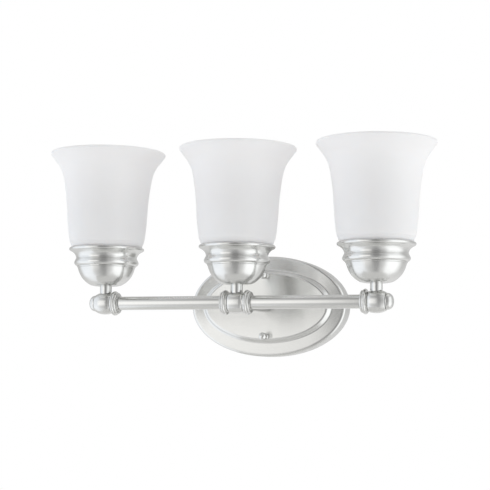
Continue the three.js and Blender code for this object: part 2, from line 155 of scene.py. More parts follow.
for name, (colour, power, sideways, upwards) in ROOM_LIGHTS.items():
    both = node(sky, "ShaderNodeVectorMath", {
        0: spread(turn, 180, sideways), 1: spread(rise, 90, upwards),
    }, operation="MULTIPLY")
    shone = node(sky, "ShaderNodeVectorMath", {
        0: both.outputs[0], 1: [power * c for c in linear(colour)[:3]],
    }, operation="MULTIPLY")
    if whole is None:
        gap = spread(turn, 180, [(-36, 1.0), (-2, 0.7), (6, GAP_DIMS), (18, GAP_DIMS), (36, 1.0)])
        whole = node(sky, "ShaderNodeVectorMath", {0: shone.outputs[0], 1: gap}, operation="MULTIPLY")
    else:
        whole = node(
            sky, "ShaderNodeVectorMath", {0: whole.outputs[0], 1: shone.outputs[0]}, operation="ADD"
        )

# The room is plain white to the camera itself, and matt surfaces get a little more light than metal.
path = node(sky, "ShaderNodeLightPath")
FILL_FOR_MATT = 1.12
level = node(sky, "ShaderNodeMapRange", {
    "Value": path.outputs["Is Diffuse Ray"], "To Min": 1.0, "To Max": FILL_FOR_MATT,
})
unseen = node(sky, "ShaderNodeBackground", {"Strength": level.outputs[0], "Color": whole.outputs[0]})
seen = node(sky, "ShaderNodeBackground", {"Strength": 1.0, "Color": (1, 1, 1, 1)})
shown = node(sky, "ShaderNodeMixShader", {
    0: path.outputs["Is Camera Ray"], 1: unseen.outputs[0], 2: seen.outputs[0],
})
node(sky, "ShaderNodeOutputWorld", {"Surface": shown.outputs[0]})


def material(name, **principled):
    """A Principled material and its shader; keywords are sockets with _ for a space."""
    made = bpy.data.materials.new(name)
    made.use_nodes = True
    made.node_tree.nodes.clear()
    shader = node(made.node_tree, "ShaderNodeBsdfPrincipled")
    for key, value in principled.items():
        shader.inputs[key.replace("_", " ")].default_value = value
    node(made.node_tree, "ShaderNodeOutputMaterial", {"Surface": shader.outputs[0]})
    return made, shader


# Flat wall paint: matte, with the faint mottling that a roller leaves.
def rolled_paint():
    made, shader = material("floor_paint_rolled", Roughness=0.8)
    tree = made.node_tree
    place = node(tree, "ShaderNodeTexCoord").outputs["Object"]
    mottle = node(tree, "ShaderNodeTexNoise", {"Vector": place, "Scale": 1 / (60 * MM), "Detail": 3})
    tint = node(tree, "ShaderNodeValToRGB", {"Fac": mottle.outputs["Fac"]})
    tint.color_ramp.elements[0].color = linear("#f2f1ee")
    tint.color_ramp.elements[1].color = linear("#faf9f7")
    tree.links.new(tint.outputs["Color"], shader.inputs["Base Color"])
    return made


FLOOR_DROP = 0.9
FLOOR_SIDE = 1.3
floor_mesh = bpy.data.meshes.new("floor")
half = FLOOR_SIDE / 2
floor_corners = [(-half, -half, 0), (half, -half, 0), (half, half, 0), (-half, half, 0)]
floor_mesh.from_pydata(floor_corners, [], [(0, 1, 2, 3)])
floor = bpy.data.objects.new("floor", floor_mesh)
floor.location = (0, 0, cad_box[0][2] - FLOOR_DROP)
floor_mesh.materials.append(rolled_paint())
bpy.context.scene.collection.objects.link(floor)


# ---- Mounting strap ----
# A cross of 2 mm steel strip, blanked in one stroke and zinc plated. Two slots take the outlet
# box's screws and two tapped holes take the studs.
def centre_of(name):
    low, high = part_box(name)
    return (low + high) / 2


def finish_piece(piece, finish, body, slot, *nodes):
    """Gives a piece its material and body, and says which CAD nodes it stands for. Its slot is not used."""
    piece.data.materials.append(finish)
    if piece.name not in bpy.context.scene.collection.objects:
        bpy.context.scene.collection.objects.link(piece)
    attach(piece, body)
    if nodes:
        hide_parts(*nodes)
    return piece


# Bright zinc plate: a cool grey metal with faint cloudy spangle and a soft shine.
def zinc_plate():
    made, shader = material("zinc_plate_barrel", Metallic=1.0)
    tree = made.node_tree
    place = node(tree, "ShaderNodeTexCoord").outputs["Object"]
    cloud = node(tree, "ShaderNodeTexNoise", {"Vector": place, "Scale": 1 / (6 * MM), "Detail": 4})
    tint = node(tree, "ShaderNodeValToRGB", {"Fac": cloud.outputs["Fac"]})
    tint.color_ramp.elements[0].color = linear("#b9bdc2")
    tint.color_ramp.elements[1].color = linear("#d2d3d0")
    tree.links.new(tint.outputs["Color"], shader.inputs["Base Color"])
    shine = node(tree, "ShaderNodeMapRange", {
        "Value": cloud.outputs["Fac"], "To Min": 0.3, "To Max": 0.5,
    })
    tree.links.new(shine.outputs[0], shader.inputs["Roughness"])
    grit = node(tree, "ShaderNodeTexNoise", {"Vector": place, "Scale": 1 / (0.6 * MM)})
    relief = node(tree, "ShaderNodeBump", {
        "Height": grit.outputs["Fac"], "Strength": 0.08, "Distance": 0.1 * MM,
    })
    tree.links.new(relief.outputs[0], shader.inputs["Normal"])
    return made


zinc = zinc_plate()


def slab(name, outlines, thickness, edge):
    """A flat blank lying in XY, of closed outlines in metres: first its edge, then its holes."""
    curve = bpy.data.curves.new(name, "CURVE")
    curve.dimensions = "2D"
    curve.fill_mode = "BOTH"
    curve.extrude = thickness / 2 - edge
    curve.bevel_depth = edge
    curve.bevel_resolution = 2
    curve.offset = -edge
    for outline in outlines:
        spline = curve.splines.new("POLY")
        spline.points.add(len(outline) - 1)
        for point, (x, y) in zip(spline.points, outline):
            point.co = (x, y, 0, 1)
        spline.use_cyclic_u = True
    holder = bpy.data.objects.new(name + "_outline", curve)
    bpy.context.scene.collection.objects.link(holder)
    mesh = bpy.data.meshes.new_from_object(holder.evaluated_get(bpy.context.evaluated_depsgraph_get()))
    bpy.data.objects.remove(holder)
    mesh.name = name
    return bpy.data.objects.new(name, mesh)


def half_turn(x, y, radius, start, steps=14):
    """Points of a half circle, anticlockwise from an angle in degrees."""
    angles = [math.radians(start + 180 * i / steps) for i in range(steps + 1)]
    return [(x + radius * math.cos(a), y + radius * math.sin(a)) for a in angles]


strap_low, strap_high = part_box("mounting_strap")
strap_half = 10 * MM
slot_near, slot_far, slot_radius = 35 * MM, 44.5 * MM, 2.6 * MM
stud_hole = 2.4 * MM
strap_edge = []
for quarter in range(4):
    reach = (strap_high.x if quarter % 2 == 0 else strap_high.z) - strap_half
    across, up = math.cos(math.radians(90 * quarter)), math.sin(math.radians(90 * quarter))
    for x, y in [*half_turn(reach, 0, strap_half, -90), (strap_half, strap_half)]:
        strap_edge.append((x * across - y * up, x * up + y * across))
stud_height = centre_of("stud_upper").z
strap_holes = [
    half_turn(0, z, stud_hole, 0) + half_turn(0, z, stud_hole, 180)[:-1]
    for z in (stud_height, -stud_height)
]
for side in (0, 180):
    across = math.cos(math.radians(side))
    strap_holes.append(
        half_turn(across * slot_far, 0, slot_radius, side - 90)
        + half_turn(across * slot_near, 0, slot_radius, side + 90)
    )
strap = slab("strap_steel", [strap_edge, *strap_holes], strap_high.y - strap_low.y, 0.25 * MM)
strap.matrix_world = (
    Matrix.Translation((0, centre_of("mounting_strap").y, 0)) @ Matrix.Rotation(math.pi / 2, 4, "X")
)
finish_piece(strap, zinc, "fixture", "zinc_steel", "mounting_strap")


# ---- Studs and ground screw ----
# Two 8-32 steel studs stand in the strap and carry the backplate. The ground screw between them is
# painted green and has a slotted washer head.
UP = Matrix.Identity(4)
ALONG_BAR = Matrix.Rotation(math.pi / 2, 4, "Y")
OUT_FROM_WALL = Matrix.Rotation(math.pi / 2, 4, "X")


def turned(name, outline, place, direction=UP, sides=96, sharp=32, shape=None):
    """A lathe-turned piece. The outline is (radius, height) in mm, up the outside; it starts and ends
    on the axis, or closes on itself. shape may move a point, given its radius, angle and height."""
    points, faces, rings = [], [], []
    for r, h in outline:
        if r < 1e-6:
            rings.append([len(points)] * sides)
            points.append((0, 0, h * MM))
            continue
        rings.append(list(range(len(points), len(points) + sides)))
        for i in range(sides):
            angle = 2 * math.pi * i / sides
            x, y, z = shape(r, angle, h) if shape else (r * math.cos(angle), r * math.sin(angle), h)
            points.append((x * MM, y * MM, z * MM))
    closed = outline[0][0] > 1e-6
    for j in range(len(rings) - (0 if closed else 1)):
        low, high = rings[j], rings[(j + 1) % len(rings)]
        for i in range(sides):
            k = (i + 1) % sides
            corners = [low[i], low[k], high[k], high[i]]
            faces.append([c for n, c in enumerate(corners) if c not in corners[:n]])
    mesh = bpy.data.meshes.new(name)
    mesh.from_pydata(points, [], faces)
    mesh.polygons.foreach_set("use_smooth", [True] * len(mesh.polygons))
    mesh.set_sharp_from_angle(angle=math.radians(sharp))
    piece = bpy.data.objects.new(name, mesh)
    piece.matrix_world = Matrix.Translation(place) @ direction
    bpy.context.scene.collection.objects.link(piece)
    return piece


def eased(outline, steps=4):
    """Rounds the corners of an outline. A point's third value is how far from it the rounding starts."""
    made = []
    for i, (r, h, *rounding) in enumerate(outline):
        if not rounding:
            made.append((r, h))
            continue
        corner = Vector((r, h))
        sides = [Vector(outline[k][:2]) - corner for k in (i - 1, (i + 1) % len(outline))]
        start, end = (corner + s.normalized() * min(rounding[0], s.length * 0.48) for s in sides)
        for n in range(steps + 1):
            t = n / steps
            point = start * (1 - t) ** 2 + corner * 2 * t * (1 - t) + end * t ** 2
            made.append((point.x, point.y))
    return made


def thread(low, high, pitch, depth):
    """A shape for turned(): a rounded screw thread between two heights, cut into the radius."""
    def cut(r, angle, h):
        if low < h < high:
            fade = min(1, (h - low) / pitch, (high - h) / pitch)
            r -= depth * fade * (0.5 - 0.5 * math.cos(2 * math.pi * h / pitch - angle))
        return (r * math.cos(angle), r * math.sin(angle), h)
    return cut


def threaded_stretch(radius, low, high, pitch, per_turn=6):
    """Outline points close enough together for a thread."""
    count = round((high - low) / pitch * per_turn)
    return [(radius, low + (high - low) * i / count) for i in range(count + 1)]


def wall_side(name):
    """The middle of a CAD node's side towards the wall."""
    middle = centre_of(name)
    return (middle.x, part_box(name)[1].y, middle.z)


STUD_PITCH = 0.794
stud_chamfer = 0.4
for end in ("upper", "lower"):
    low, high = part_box("stud_" + end)
    radius, length = (high.x - low.x) / 2 / MM, (high.y - low.y) / MM
    outline = [(0, 0), (radius * 0.8, 0)]
    outline += threaded_stretch(radius, stud_chamfer, length - stud_chamfer, STUD_PITCH)
    outline += [(radius * 0.8, length), (0, length)]
    stud = turned(
        "stud_thread_" + end, outline, wall_side("stud_" + end), OUT_FROM_WALL, 24, 60,
        thread(stud_chamfer, length - stud_chamfer, STUD_PITCH, 0.35),
    )
    finish_piece(stud, zinc, "fixture", "zinc_steel", "stud_" + end)


# Green enamel over steel: glossy, thin on the edges, the colour that marks the earth screw.
def green_enamel():
    made, shader = material("enamel_green_dipped", Roughness=0.3, Coat_Weight=0.4)
    tree = made.node_tree
    place = node(tree, "ShaderNodeTexCoord").outputs["Object"]
    pool = node(tree, "ShaderNodeTexNoise", {"Vector": place, "Scale": 1 / (2 * MM)})
    tint = node(tree, "ShaderNodeValToRGB", {"Fac": pool.outputs["Fac"]})
    tint.color_ramp.elements[0].color = linear("#1d6a39")
    tint.color_ramp.elements[1].color = linear("#2f8a4e")
    tree.links.new(tint.outputs["Color"], shader.inputs["Base Color"])
    return made


def slotted_head(radius, slot_half, slot_floor):
    """A shape for turned(): presses a screwdriver slot into the top of a head."""
    def press(r, angle, h):
        x, y = r * math.cos(angle), r * math.sin(angle)
        if abs(y) < slot_half and h > slot_floor and r < radius:
            h = slot_floor
        return (x, y, h)
    return press


head_top = 5
screw_outline = [(0, 0), (2.1, 0), (2.1, 2), (4.35, 2), (4.4, 2.5), (4.35, 3.4), (3.5, 3.6), (3.4, 4.6)]
screw_outline += [(r / 10, head_top) for r in range(31, 0, -3)] + [(0, head_top)]
ground_screw = turned(
    "ground_screw_head", screw_outline, wall_side("ground_screw"), OUT_FROM_WALL, 48, 32,
    slotted_head(3.3, 0.5, 3.9),
)
finish_piece(ground_screw, green_enamel(), "fixture", "green_screw", "ground_screw")


# ---- Backplate ----
# A shallow oval pan, drawn from 1.2 mm steel with a raised oval centre, brushed from side to side,
# nickel plated and lacquered.
def nickel_tint(tree, shader, streaks, dull=0.26, glossy=0.2):
    """Nickel's warm grey, with streaks of grain that vary its tint and how sharply it shines."""
    tint = node(tree, "ShaderNodeValToRGB", {"Fac": streaks})
    tint.color_ramp.elements[0].color = linear("#dadad8")
    tint.color_ramp.elements[1].color = linear("#e6e6e4")
    tree.links.new(tint.outputs["Color"], shader.inputs["Base Color"])
    shine = node(tree, "ShaderNodeMapRange", {"Value": streaks, "To Min": glossy, "To Max": dull})
    tree.links.new(shine.outputs[0], shader.inputs["Roughness"])


# Satin nickel, brushed flat: grain runs level, so that what it mirrors is drawn out upright.
# The real grit is about 0.1 mm; it is drawn at 0.5 mm so that it shows.
def satin_nickel_flat():
    made, shader = material("satin_nickel_brushed_flat", Metallic=1.0, Anisotropic=0.93)
    tree = made.node_tree
    place = node(tree, "ShaderNodeTexCoord").outputs["Object"]
    stretched = node(tree, "ShaderNodeMapping", {
        "Vector": place, "Scale": (1 / (40 * MM), 1 / (8 * MM), 1 / (0.5 * MM)),
    })
    grain = node(tree, "ShaderNodeTexNoise", {
        "Vector": stretched.outputs[0], "Scale": 1.0, "Detail": 5, "Roughness": 0.7,
    })
    nickel_tint(tree, shader, grain.outputs["Fac"], 0.25, 0.2)
    relief = node(tree, "ShaderNodeBump", {
        "Height": grain.outputs["Fac"], "Strength": 0.12, "Distance": 0.05 * MM,
    })
    tree.links.new(relief.outputs[0], shader.inputs["Normal"])
    upright = node(tree, "ShaderNodeTangent", direction_type="UV_MAP", uv_map="grain")
    tree.links.new(upright.outputs[0], shader.inputs["Tangent"])
    return made


plate_low, plate_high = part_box("backplate")
plate_half_w, plate_half_h = plate_high.x / MM, plate_high.z / MM
plate_depth = (plate_high.y - plate_low.y) / MM
ring_depth = 24.2
foot_depth = 25.2
face_inset = 22.2
step_width = 5.0
plate_sheet = 1.2


plate_middle = 8


def oval(r, angle, h):
    """A shape for turned(): widens a round pan into an oval with an even rim, but not its middle."""
    share = min(1, r / plate_middle)
    return ((r + share * (plate_half_w - plate_half_h)) * math.cos(angle), r * math.sin(angle), h)


face_edge = plate_half_h - face_inset
front = [
    (plate_half_h, 0),
    (plate_half_h, ring_depth - 0.2, 4.2),
    (face_edge + step_width, foot_depth, 1.6),
    (face_edge + 0.9, plate_depth, 2.2),
    (plate_middle, plate_depth),
    (0, plate_depth),
]
back = [
    (r - plate_sheet * (r == plate_half_h), h - plate_sheet, *rounding) for r, h, *rounding in reversed(front)
]
back[-1] = (plate_half_h - plate_sheet, 0)
plate = turned(
    "backplate_pan", eased([*front, *back], 6), (0, plate_high.y, 0), OUT_FROM_WALL, 192, 32, oval
)
grain_map = plate.data.uv_layers.new(name="grain")
for loop in plate.data.loops:
    corner = plate.data.vertices[loop.vertex_index].co
    grain_map.data[loop.index].uv = (corner.y * 4, corner.x * 4)
finish_piece(plate, satin_nickel_flat(), "fixture", "satin_nickel", "backplate")


# ---- Ball cap nuts ----
# Turned nickel-plated nuts with a ball end. They screw onto the studs and pull the plate to the wall.
def grain_round_axis(tree, pitch_mm):
    """Streaks that run round a turned piece's own axis, about pitch_mm apart."""
    place = node(tree, "ShaderNodeTexCoord").outputs["Object"]
    parts = node(tree, "ShaderNodeSeparateXYZ", {"Vector": place})
    flat = node(tree, "ShaderNodeCombineXYZ", {"X": parts.outputs["X"], "Y": parts.outputs["Y"]})
    radius = node(tree, "ShaderNodeVectorMath", {0: flat.outputs[0]}, operation="LENGTH").outputs["Value"]
    around = node(
        tree, "ShaderNodeMath", {0: parts.outputs["Y"], 1: parts.outputs["X"]}, operation="ARCTAN2"
    ).outputs[0]
    per_streak, per_radian = 1 / (pitch_mm * MM), 0.6
    lines = [
        node(tree, "ShaderNodeMath", {0: value, 1: scale}, operation="MULTIPLY").outputs[0]
        for value, scale in ((radius, per_streak), (around, per_radian), (parts.outputs["Z"], per_streak))
    ]
    placed = node(tree, "ShaderNodeCombineXYZ", {"X": lines[0], "Y": lines[1], "Z": lines[2]})
    streaks = node(tree, "ShaderNodeTexNoise", {
        "Vector": placed.outputs[0], "Scale": 1.0, "Detail": 4, "Roughness": 0.65,
    })
    return streaks.outputs["Fac"]


# Satin nickel, polished with an abrasive pad while it spins: grain runs round the piece, so that a
# highlight is drawn out along its outline. The grain is drawn at 0.7 mm so that it shows.
def satin_nickel_spun(name="satin_nickel_spun", drawn_out=0.7, dull=0.27, glossy=0.19):
    made, shader = material(name, Metallic=1.0, Anisotropic=drawn_out, Anisotropic_Rotation=0.25)
    tree = made.node_tree
    grain = grain_round_axis(tree, 0.7)
    nickel_tint(tree, shader, grain, dull, glossy)
    relief = node(tree, "ShaderNodeBump", {"Height": grain, "Strength": 0.1, "Distance": 0.05 * MM})
    tree.links.new(relief.outputs[0], shader.inputs["Normal"])
    around = node(tree, "ShaderNodeTangent", direction_type="RADIAL", axis="Z")
    tree.links.new(around.outputs[0], shader.inputs["Tangent"])
    return made


spun_nickel = satin_nickel_spun()


def arc(r, h, radius, start, end, steps=12):
    """Points of an arc of an outline, from one angle to another in degrees."""
    angles = [math.radians(start + (end - start) * i / steps) for i in range(steps + 1)]
    return [(r + radius * math.cos(a), h + radius * math.sin(a)) for a in angles]


ball_radius = 4.85
for end in ("upper", "lower"):
    low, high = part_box("cap_nut_" + end)
    length = (high.y - low.y) / MM
    outline = eased([(0, 0), (4, 0, 0.2), (4, 1.5, 0.6), (3.1, 2.5, 0.6), (2.9, 6.2, 0.8)])
    outline += arc(0, length - ball_radius, ball_radius, -50, 90, 20)
    outline[-1] = (0, length)
    nut = turned("ball_nut_" + end, outline, wall_side("cap_nut_" + end), OUT_FROM_WALL, 48)
    finish_piece(nut, spun_nickel, "nut_" + end, "satin_nickel", "cap_nut_" + end)


# ---- Arm ----
# A short length of the same tube as the bar. A nipple and lock nut hold it to the plate, another
# nipple holds it to the centre hub, and its far end is shaped to the hub.
bar_centre = centre_of("bar_tube_left")
bar_centre.x = 0
hub_radius = 12.8
arm_low, arm_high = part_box("arm_tube")
arm_length = (arm_high.y - bar_centre.y) / MM
arm_height = (arm_low.z + arm_high.z) / 2
tube_radius = (arm_high.x - arm_low.x) / 2 / MM
arm_bore = 6.8
arm_outline = eased([
    (arm_bore, 0), (tube_radius, 0, 0.4), (tube_radius, arm_length - 11), (tube_radius, arm_length - 8),
    (arm_bore, arm_length - 8), (arm_bore, arm_length - 11),
])
arm = turned("arm_tube_fine", arm_outline, (0, arm_high.y, arm_height), OUT_FROM_WALL, 64)
for v in arm.data.vertices:
    if v.co.z > (arm_length - 9) * MM:
        above_bar = v.co.y + arm_height - bar_centre.z
        v.co.z = arm_length * MM - math.sqrt(((hub_radius + 0.1) * MM) ** 2 - above_bar ** 2)
finish_piece(arm, spun_nickel, "fixture", "satin_nickel", "arm_tube")


def hex_nut(name, across_flats, hole_radius, thickness, place, direction):
    """A hexagon nut with chamfered corners on both faces."""
    def six_sided(r, angle, h):
        if r > hole_radius + 0.1:
            sixth = math.pi / 3
            flat = across_flats / 2 / math.cos((angle + sixth / 2) % sixth - sixth / 2)
            r = min(r, flat)
        return (r * math.cos(angle), r * math.sin(angle), h)
    corner = across_flats / math.sqrt(3)
    outline = [(hole_radius, 0), (corner - 0.9, 0), (corner, 0.6), (corner, thickness - 0.6),
               (corner - 0.9, thickness), (hole_radius, thickness)]
    return turned(name, outline, place, direction, 96, 20, six_sided)


nut_low, nut_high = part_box("arm_lock_nut")
arm_nut = hex_nut(
    "arm_nut_hex", (nut_high.z - nut_low.z) / MM, 6.7, (nut_high.y - nut_low.y) / MM,
    (0, nut_high.y, arm_height), OUT_FROM_WALL,
)
finish_piece(arm_nut, zinc, "fixture", "zinc_steel", "arm_lock_nut")


# ---- Threaded nipples ----
# Short lengths of pipe thread that hold the hubs, rings, tubes and stems together. They sit inside
# those pieces, and keep their plain CAD shape under the zinc plate's finish.
def refinish(finish, *names):
    """Puts a material on CAD nodes that stay."""
    for name in names:
        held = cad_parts[name]
        held.data.materials.clear()
        held.data.materials.append(finish)


NAMES = ("left", "centre", "right")
SIDES = ("left", "right")
refinish(zinc, "arm_nipple_plate", "arm_nipple_hub")
refinish(zinc, *("bar_nipple_" + side for side in SIDES))
refinish(zinc, *("bar_nipple_centre_" + side for side in SIDES))
refinish(zinc, *("stem_nipple_" + name for name in NAMES))


# ---- Bar tubes ----
# Two lengths of 16 mm tube between the hubs, turned against the pad like the other round pieces.
tube_nickel = satin_nickel_spun("satin_nickel_tube", 0.45, 0.24, 0.17)
nipple_hole = 5.3
for side in SIDES:
    low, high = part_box("bar_tube_" + side)
    length = (high.x - low.x) / MM
    outline = eased([
        (nipple_hole, 0), (tube_radius, 0, 0.3), (tube_radius, length, 0.3), (nipple_hole, length),
    ])
    tube = turned("bar_tube_fine_" + side, outline, (low.x, bar_centre.y, bar_centre.z), ALONG_BAR, 96)
    finish_piece(tube, tube_nickel, "fixture", "satin_nickel", "bar_tube_" + side)


# ---- Hubs ----
# Zinc castings, turned and polished before plating: a barrel in the middle and a ball at each end.
# They are bored along the bar for the nipples, and upwards for a stem.
def flowing(points, steps=6):
    """A smooth outline through points, as a Catmull-Rom curve."""
    made = []
    padded = [points[0], *points, points[-1]]
    for a, b, c, d in zip(padded, padded[1:], padded[2:], padded[3:]):
        for n in range(steps):
            t = n / steps
            made.append(tuple(
                0.5 * (
                    2 * q + (r - p) * t + (2 * p - 5 * q + 4 * r - s) * t * t
                    + (3 * q - p - 3 * r + s) * t ** 3
                )
                for p, q, r, s in zip(a, b, c, d)
            ))
    return [*made, tuple(points[-1])]


def lamp_place(name):
    """A lamp's axis where it crosses the bar's axis."""
    low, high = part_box("stem_" + name)
    return Vector(((low.x + high.x) / 2, bar_centre.y, bar_centre.z))


hub_end = 9.0
barrel = flowing([
    (11.4, -8.9), (12.2, -7.4), (12.6, -4.5), (hub_radius, 0), (12.6, 4.5), (12.2, 7.4), (11.4, 8.9),
])
centre_outline = [(nipple_hole, -hub_end), (11.1, -hub_end), *barrel, (11.1, hub_end), (nipple_hole, hub_end)]
hub = turned("hub_barrel_centre", centre_outline, lamp_place("centre"), ALONG_BAR)
finish_piece(hub, spun_nickel, "fixture", "satin_nickel", "hub_centre")

ball_hub_radius, ball_hub_end = 13.2, 11.5
ball = flowing([
    (11.3, -8.9), (12.2, -7.2), (12.95, -4.2), (ball_hub_radius, 0), (12.95, 4.2), (12.1, 7.6), (10.7, 10.9),
])
end_outline = [(nipple_hole, -hub_end), (11.0, -hub_end), *ball, (10.3, 11.4), (9.6, ball_hub_end)]
end_outline += [(nipple_hole, ball_hub_end)]
for side, outward in (("left", -1), ("right", 1)):
    outline = end_outline if outward > 0 else [(r, -h) for r, h in reversed(end_outline)]
    hub = turned("hub_ball_" + side, outline, lamp_place(side), ALONG_BAR)
    finish_piece(hub, spun_nickel, "fixture", "satin_nickel", "hub_" + side)


# ---- Rings ----
# Turned rings with two full round beads, the larger on the hub's side, and a neck for the tube. The
# nipple passes through them and clamps them between tube and hub. Those at the ends sit a little closer.
ring_in, ring_out = 9.3, 18.7
ring_radius, ring_round = 14.6, 2.2
small_radius, small_round = 13.0, 1.35
shoulder, neck = 11.4, 8.9
for name, place, way, middle in (
    ("centre_left", "centre", -1, 13.4), ("centre_right", "centre", 1, 13.4), ("left", "left", 1, 12.5),
    ("right", "right", -1, 12.5),
):
    small_middle = middle + ring_round + small_round - 0.3
    outline = [(nipple_hole, ring_in), (shoulder, ring_in), (shoulder, middle - ring_round + 0.4)]
    outline += arc(ring_radius - ring_round, middle, ring_round, -72, 62, 14)
    outline += arc(small_radius - small_round, small_middle, small_round, -48, 84, 10)
    outline += [(neck, small_middle + small_round + 0.1), (neck, ring_out - 0.2)]
    outline += [(neck - 0.2, ring_out), (nipple_hole, ring_out)]
    if way < 0:
        outline = [(r, -h) for r, h in reversed(outline)]
    ring = turned("ring_fine_" + name, outline, lamp_place(place), ALONG_BAR)
    finish_piece(ring, spun_nickel, "fixture", "satin_nickel", "ring_" + name)


# ---- End caps ----
# Domed turned caps with a spigot that screws into each end hub.
cap_seat = 11.7
cap_outline = [(0, cap_seat), (9.2, cap_seat), (9.55, cap_seat + 0.2)]
cap_outline += flowing([
    (9.7, cap_seat + 0.9), (9.5, 13.8), (8.6, 16.3), (6.5, 18.4), (3.4, 19.6), (0, 19.95),
])
for side, outward in (("left", -1), ("right", 1)):
    outline = cap_outline if outward > 0 else [(r, -h) for r, h in reversed(cap_outline)]
    cap = turned("end_dome_" + side, outline, lamp_place(side), ALONG_BAR, 72)
    finish_piece(cap, spun_nickel, "fixture", "satin_nickel", "end_cap_" + side)


# ---- Stems ----
# Short tubes between hub and cup, shaped at the foot to sit on the round hub.
stem_radius = 7.1
stem_top = (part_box("stem_centre")[1].z - bar_centre.z) / MM + 0.25
stem_foot, stem_plain = 9, 14
stem_outline = [
    (nipple_hole, stem_foot), (stem_radius, stem_foot), (stem_radius, stem_plain), (stem_radius, stem_top),
    (nipple_hole, stem_top), (nipple_hole, stem_plain),
]
for name in NAMES:
    seat_radius = hub_radius if name == "centre" else ball_hub_radius
    stem = turned("stem_fine_" + name, stem_outline, lamp_place(name), UP, 64)
    for v in stem.data.vertices:
        if v.co.z < (stem_foot + 0.5) * MM:
            v.co.z = math.sqrt(((seat_radius + 0.1) * MM) ** 2 - v.co.y ** 2)
    finish_piece(stem, spun_nickel, "fixture", "satin_nickel", "stem_" + name)


# ---- Cups ----
# Spun from 1 mm steel sheet in one piece: a bowl, a narrow band, a bead, a cove and a lip rolled
# over on itself, then polished and plated.
def shell(path, thickness, steps=8):
    """A closed outline of a sheet that follows a path up its outside and turns back with a round edge."""
    points = [Vector(p) for p in path]
    inner = []
    for i, point in enumerate(points):
        way = (points[min(i + 1, len(points) - 1)] - points[max(i - 1, 0)]).normalized()
        inward = Vector((-way.y, way.x))
        inner.append(point + inward * thickness)
    last = (points[-1] - points[-2]).normalized()
    middle, half = (points[-1] + inner[-1]) / 2, (points[-1] - inner[-1]) / 2
    edge = [
        middle + half * math.cos(math.pi * n / steps) + last * half.length * math.sin(math.pi * n / steps)
        for n in range(1, steps)
    ]
    return [tuple(p) for p in (*points, *edge, *reversed(inner))]


cup_base = 21.0
bowl = flowing([
    (14, cup_base), (18.4, 22), (22.3, 24.2), (25.3, 26.6), (29.3, 31), (32.4, 36.8), (34.1, 41.8),
])
band = eased([
    (34.3, 42.7, 0.3), (33.9, 43.0, 0.2), (35.1, 43.3, 0.3), (35.3, 44.6, 0.3), (34.9, 44.9, 0.2),
], 3)
bead = flowing([
    (36.3, 45.1), (38.0, 46.6), (38.7, 48.9), (37.9, 51.2), (36.7, 53.6), (36.5, 55.2), (37.2, 57.4),
])
cove = flowing([(37.2, 57.4), (38.5, 59.4), (40.3, 61.1), (42.2, 62.5)])[1:]
lip = arc(43, 65, 2.05, -80, 175, 18)
cup_outside = [(nipple_hole, cup_base), (10, cup_base), *bowl, *band, *bead, *cove, *lip]
cup_inside = flowing([
    (40.6, 63.4), (37.4, 60.1), (35.6, 55.4), (37.3, 48.9), (33.4, 44), (31.2, 37.2), (28.1, 31.7),
    (21.4, 25.2), (17.6, 23.2), (13.6, cup_base + 1),
], 4)
cup_outline = [*cup_outside, *cup_inside, (nipple_hole, cup_base + 1)]
for name in NAMES:
    cup = turned("cup_spun_" + name, cup_outline, lamp_place(name), UP, 144, 38)
    finish_piece(cup, spun_nickel, "fixture", "satin_nickel", "cup_" + name)


# ---- Lampholders ----
# Glazed porcelain bodies with a coarse outside thread for the shade's ring.
# Porcelain glaze: a hard white gloss with the slight unevenness of a dipped coat.
def dipped_glaze():
    made, shader = material("porcelain_glazed", Roughness=0.14, IOR=1.5, Coat_Weight=0.3)
    tree = made.node_tree
    place = node(tree, "ShaderNodeTexCoord").outputs["Object"]
    pool = node(tree, "ShaderNodeTexNoise", {"Vector": place, "Scale": 1 / (9 * MM), "Detail": 2})
    tint = node(tree, "ShaderNodeValToRGB", {"Fac": pool.outputs["Fac"]})
    tint.color_ramp.elements[0].color = linear("#ece7db")
    tint.color_ramp.elements[1].color = linear("#f5f2ea")
    tree.links.new(tint.outputs["Color"], shader.inputs["Base Color"])
    relief = node(tree, "ShaderNodeBump", {
        "Height": pool.outputs["Fac"], "Strength": 0.15, "Distance": 0.3 * MM,
    })
    tree.links.new(relief.outputs[0], shader.inputs["Normal"])
    return made


glaze = dipped_glaze()
socket_radius, socket_top = 19.6, 77.0
SOCKET_PITCH = 2.6
socket_thread = (61, 75.4)
socket_outline = eased([(nipple_hole, 27), (14, 27, 1), (19.4, 39, 1.5), (socket_radius, 60)])
socket_outline += threaded_stretch(socket_radius, *socket_thread, SOCKET_PITCH)
socket_outline += eased([
    (socket_radius - 0.2, socket_top, 0.8), (14.4, socket_top, 0.5), (14.4, 49.5), (2.5, 49.5),
    (2.5, 46.5), (10.5, 46.5), (10.5, 31), (nipple_hole, 30),
])
for name in NAMES:
    socket = turned(
        "lampholder_" + name, socket_outline, lamp_place(name), UP, 72, 40,
        thread(*socket_thread, SOCKET_PITCH, 0.9),
    )
    finish_piece(socket, glaze, "fixture", "porcelain", "socket_body_" + name)


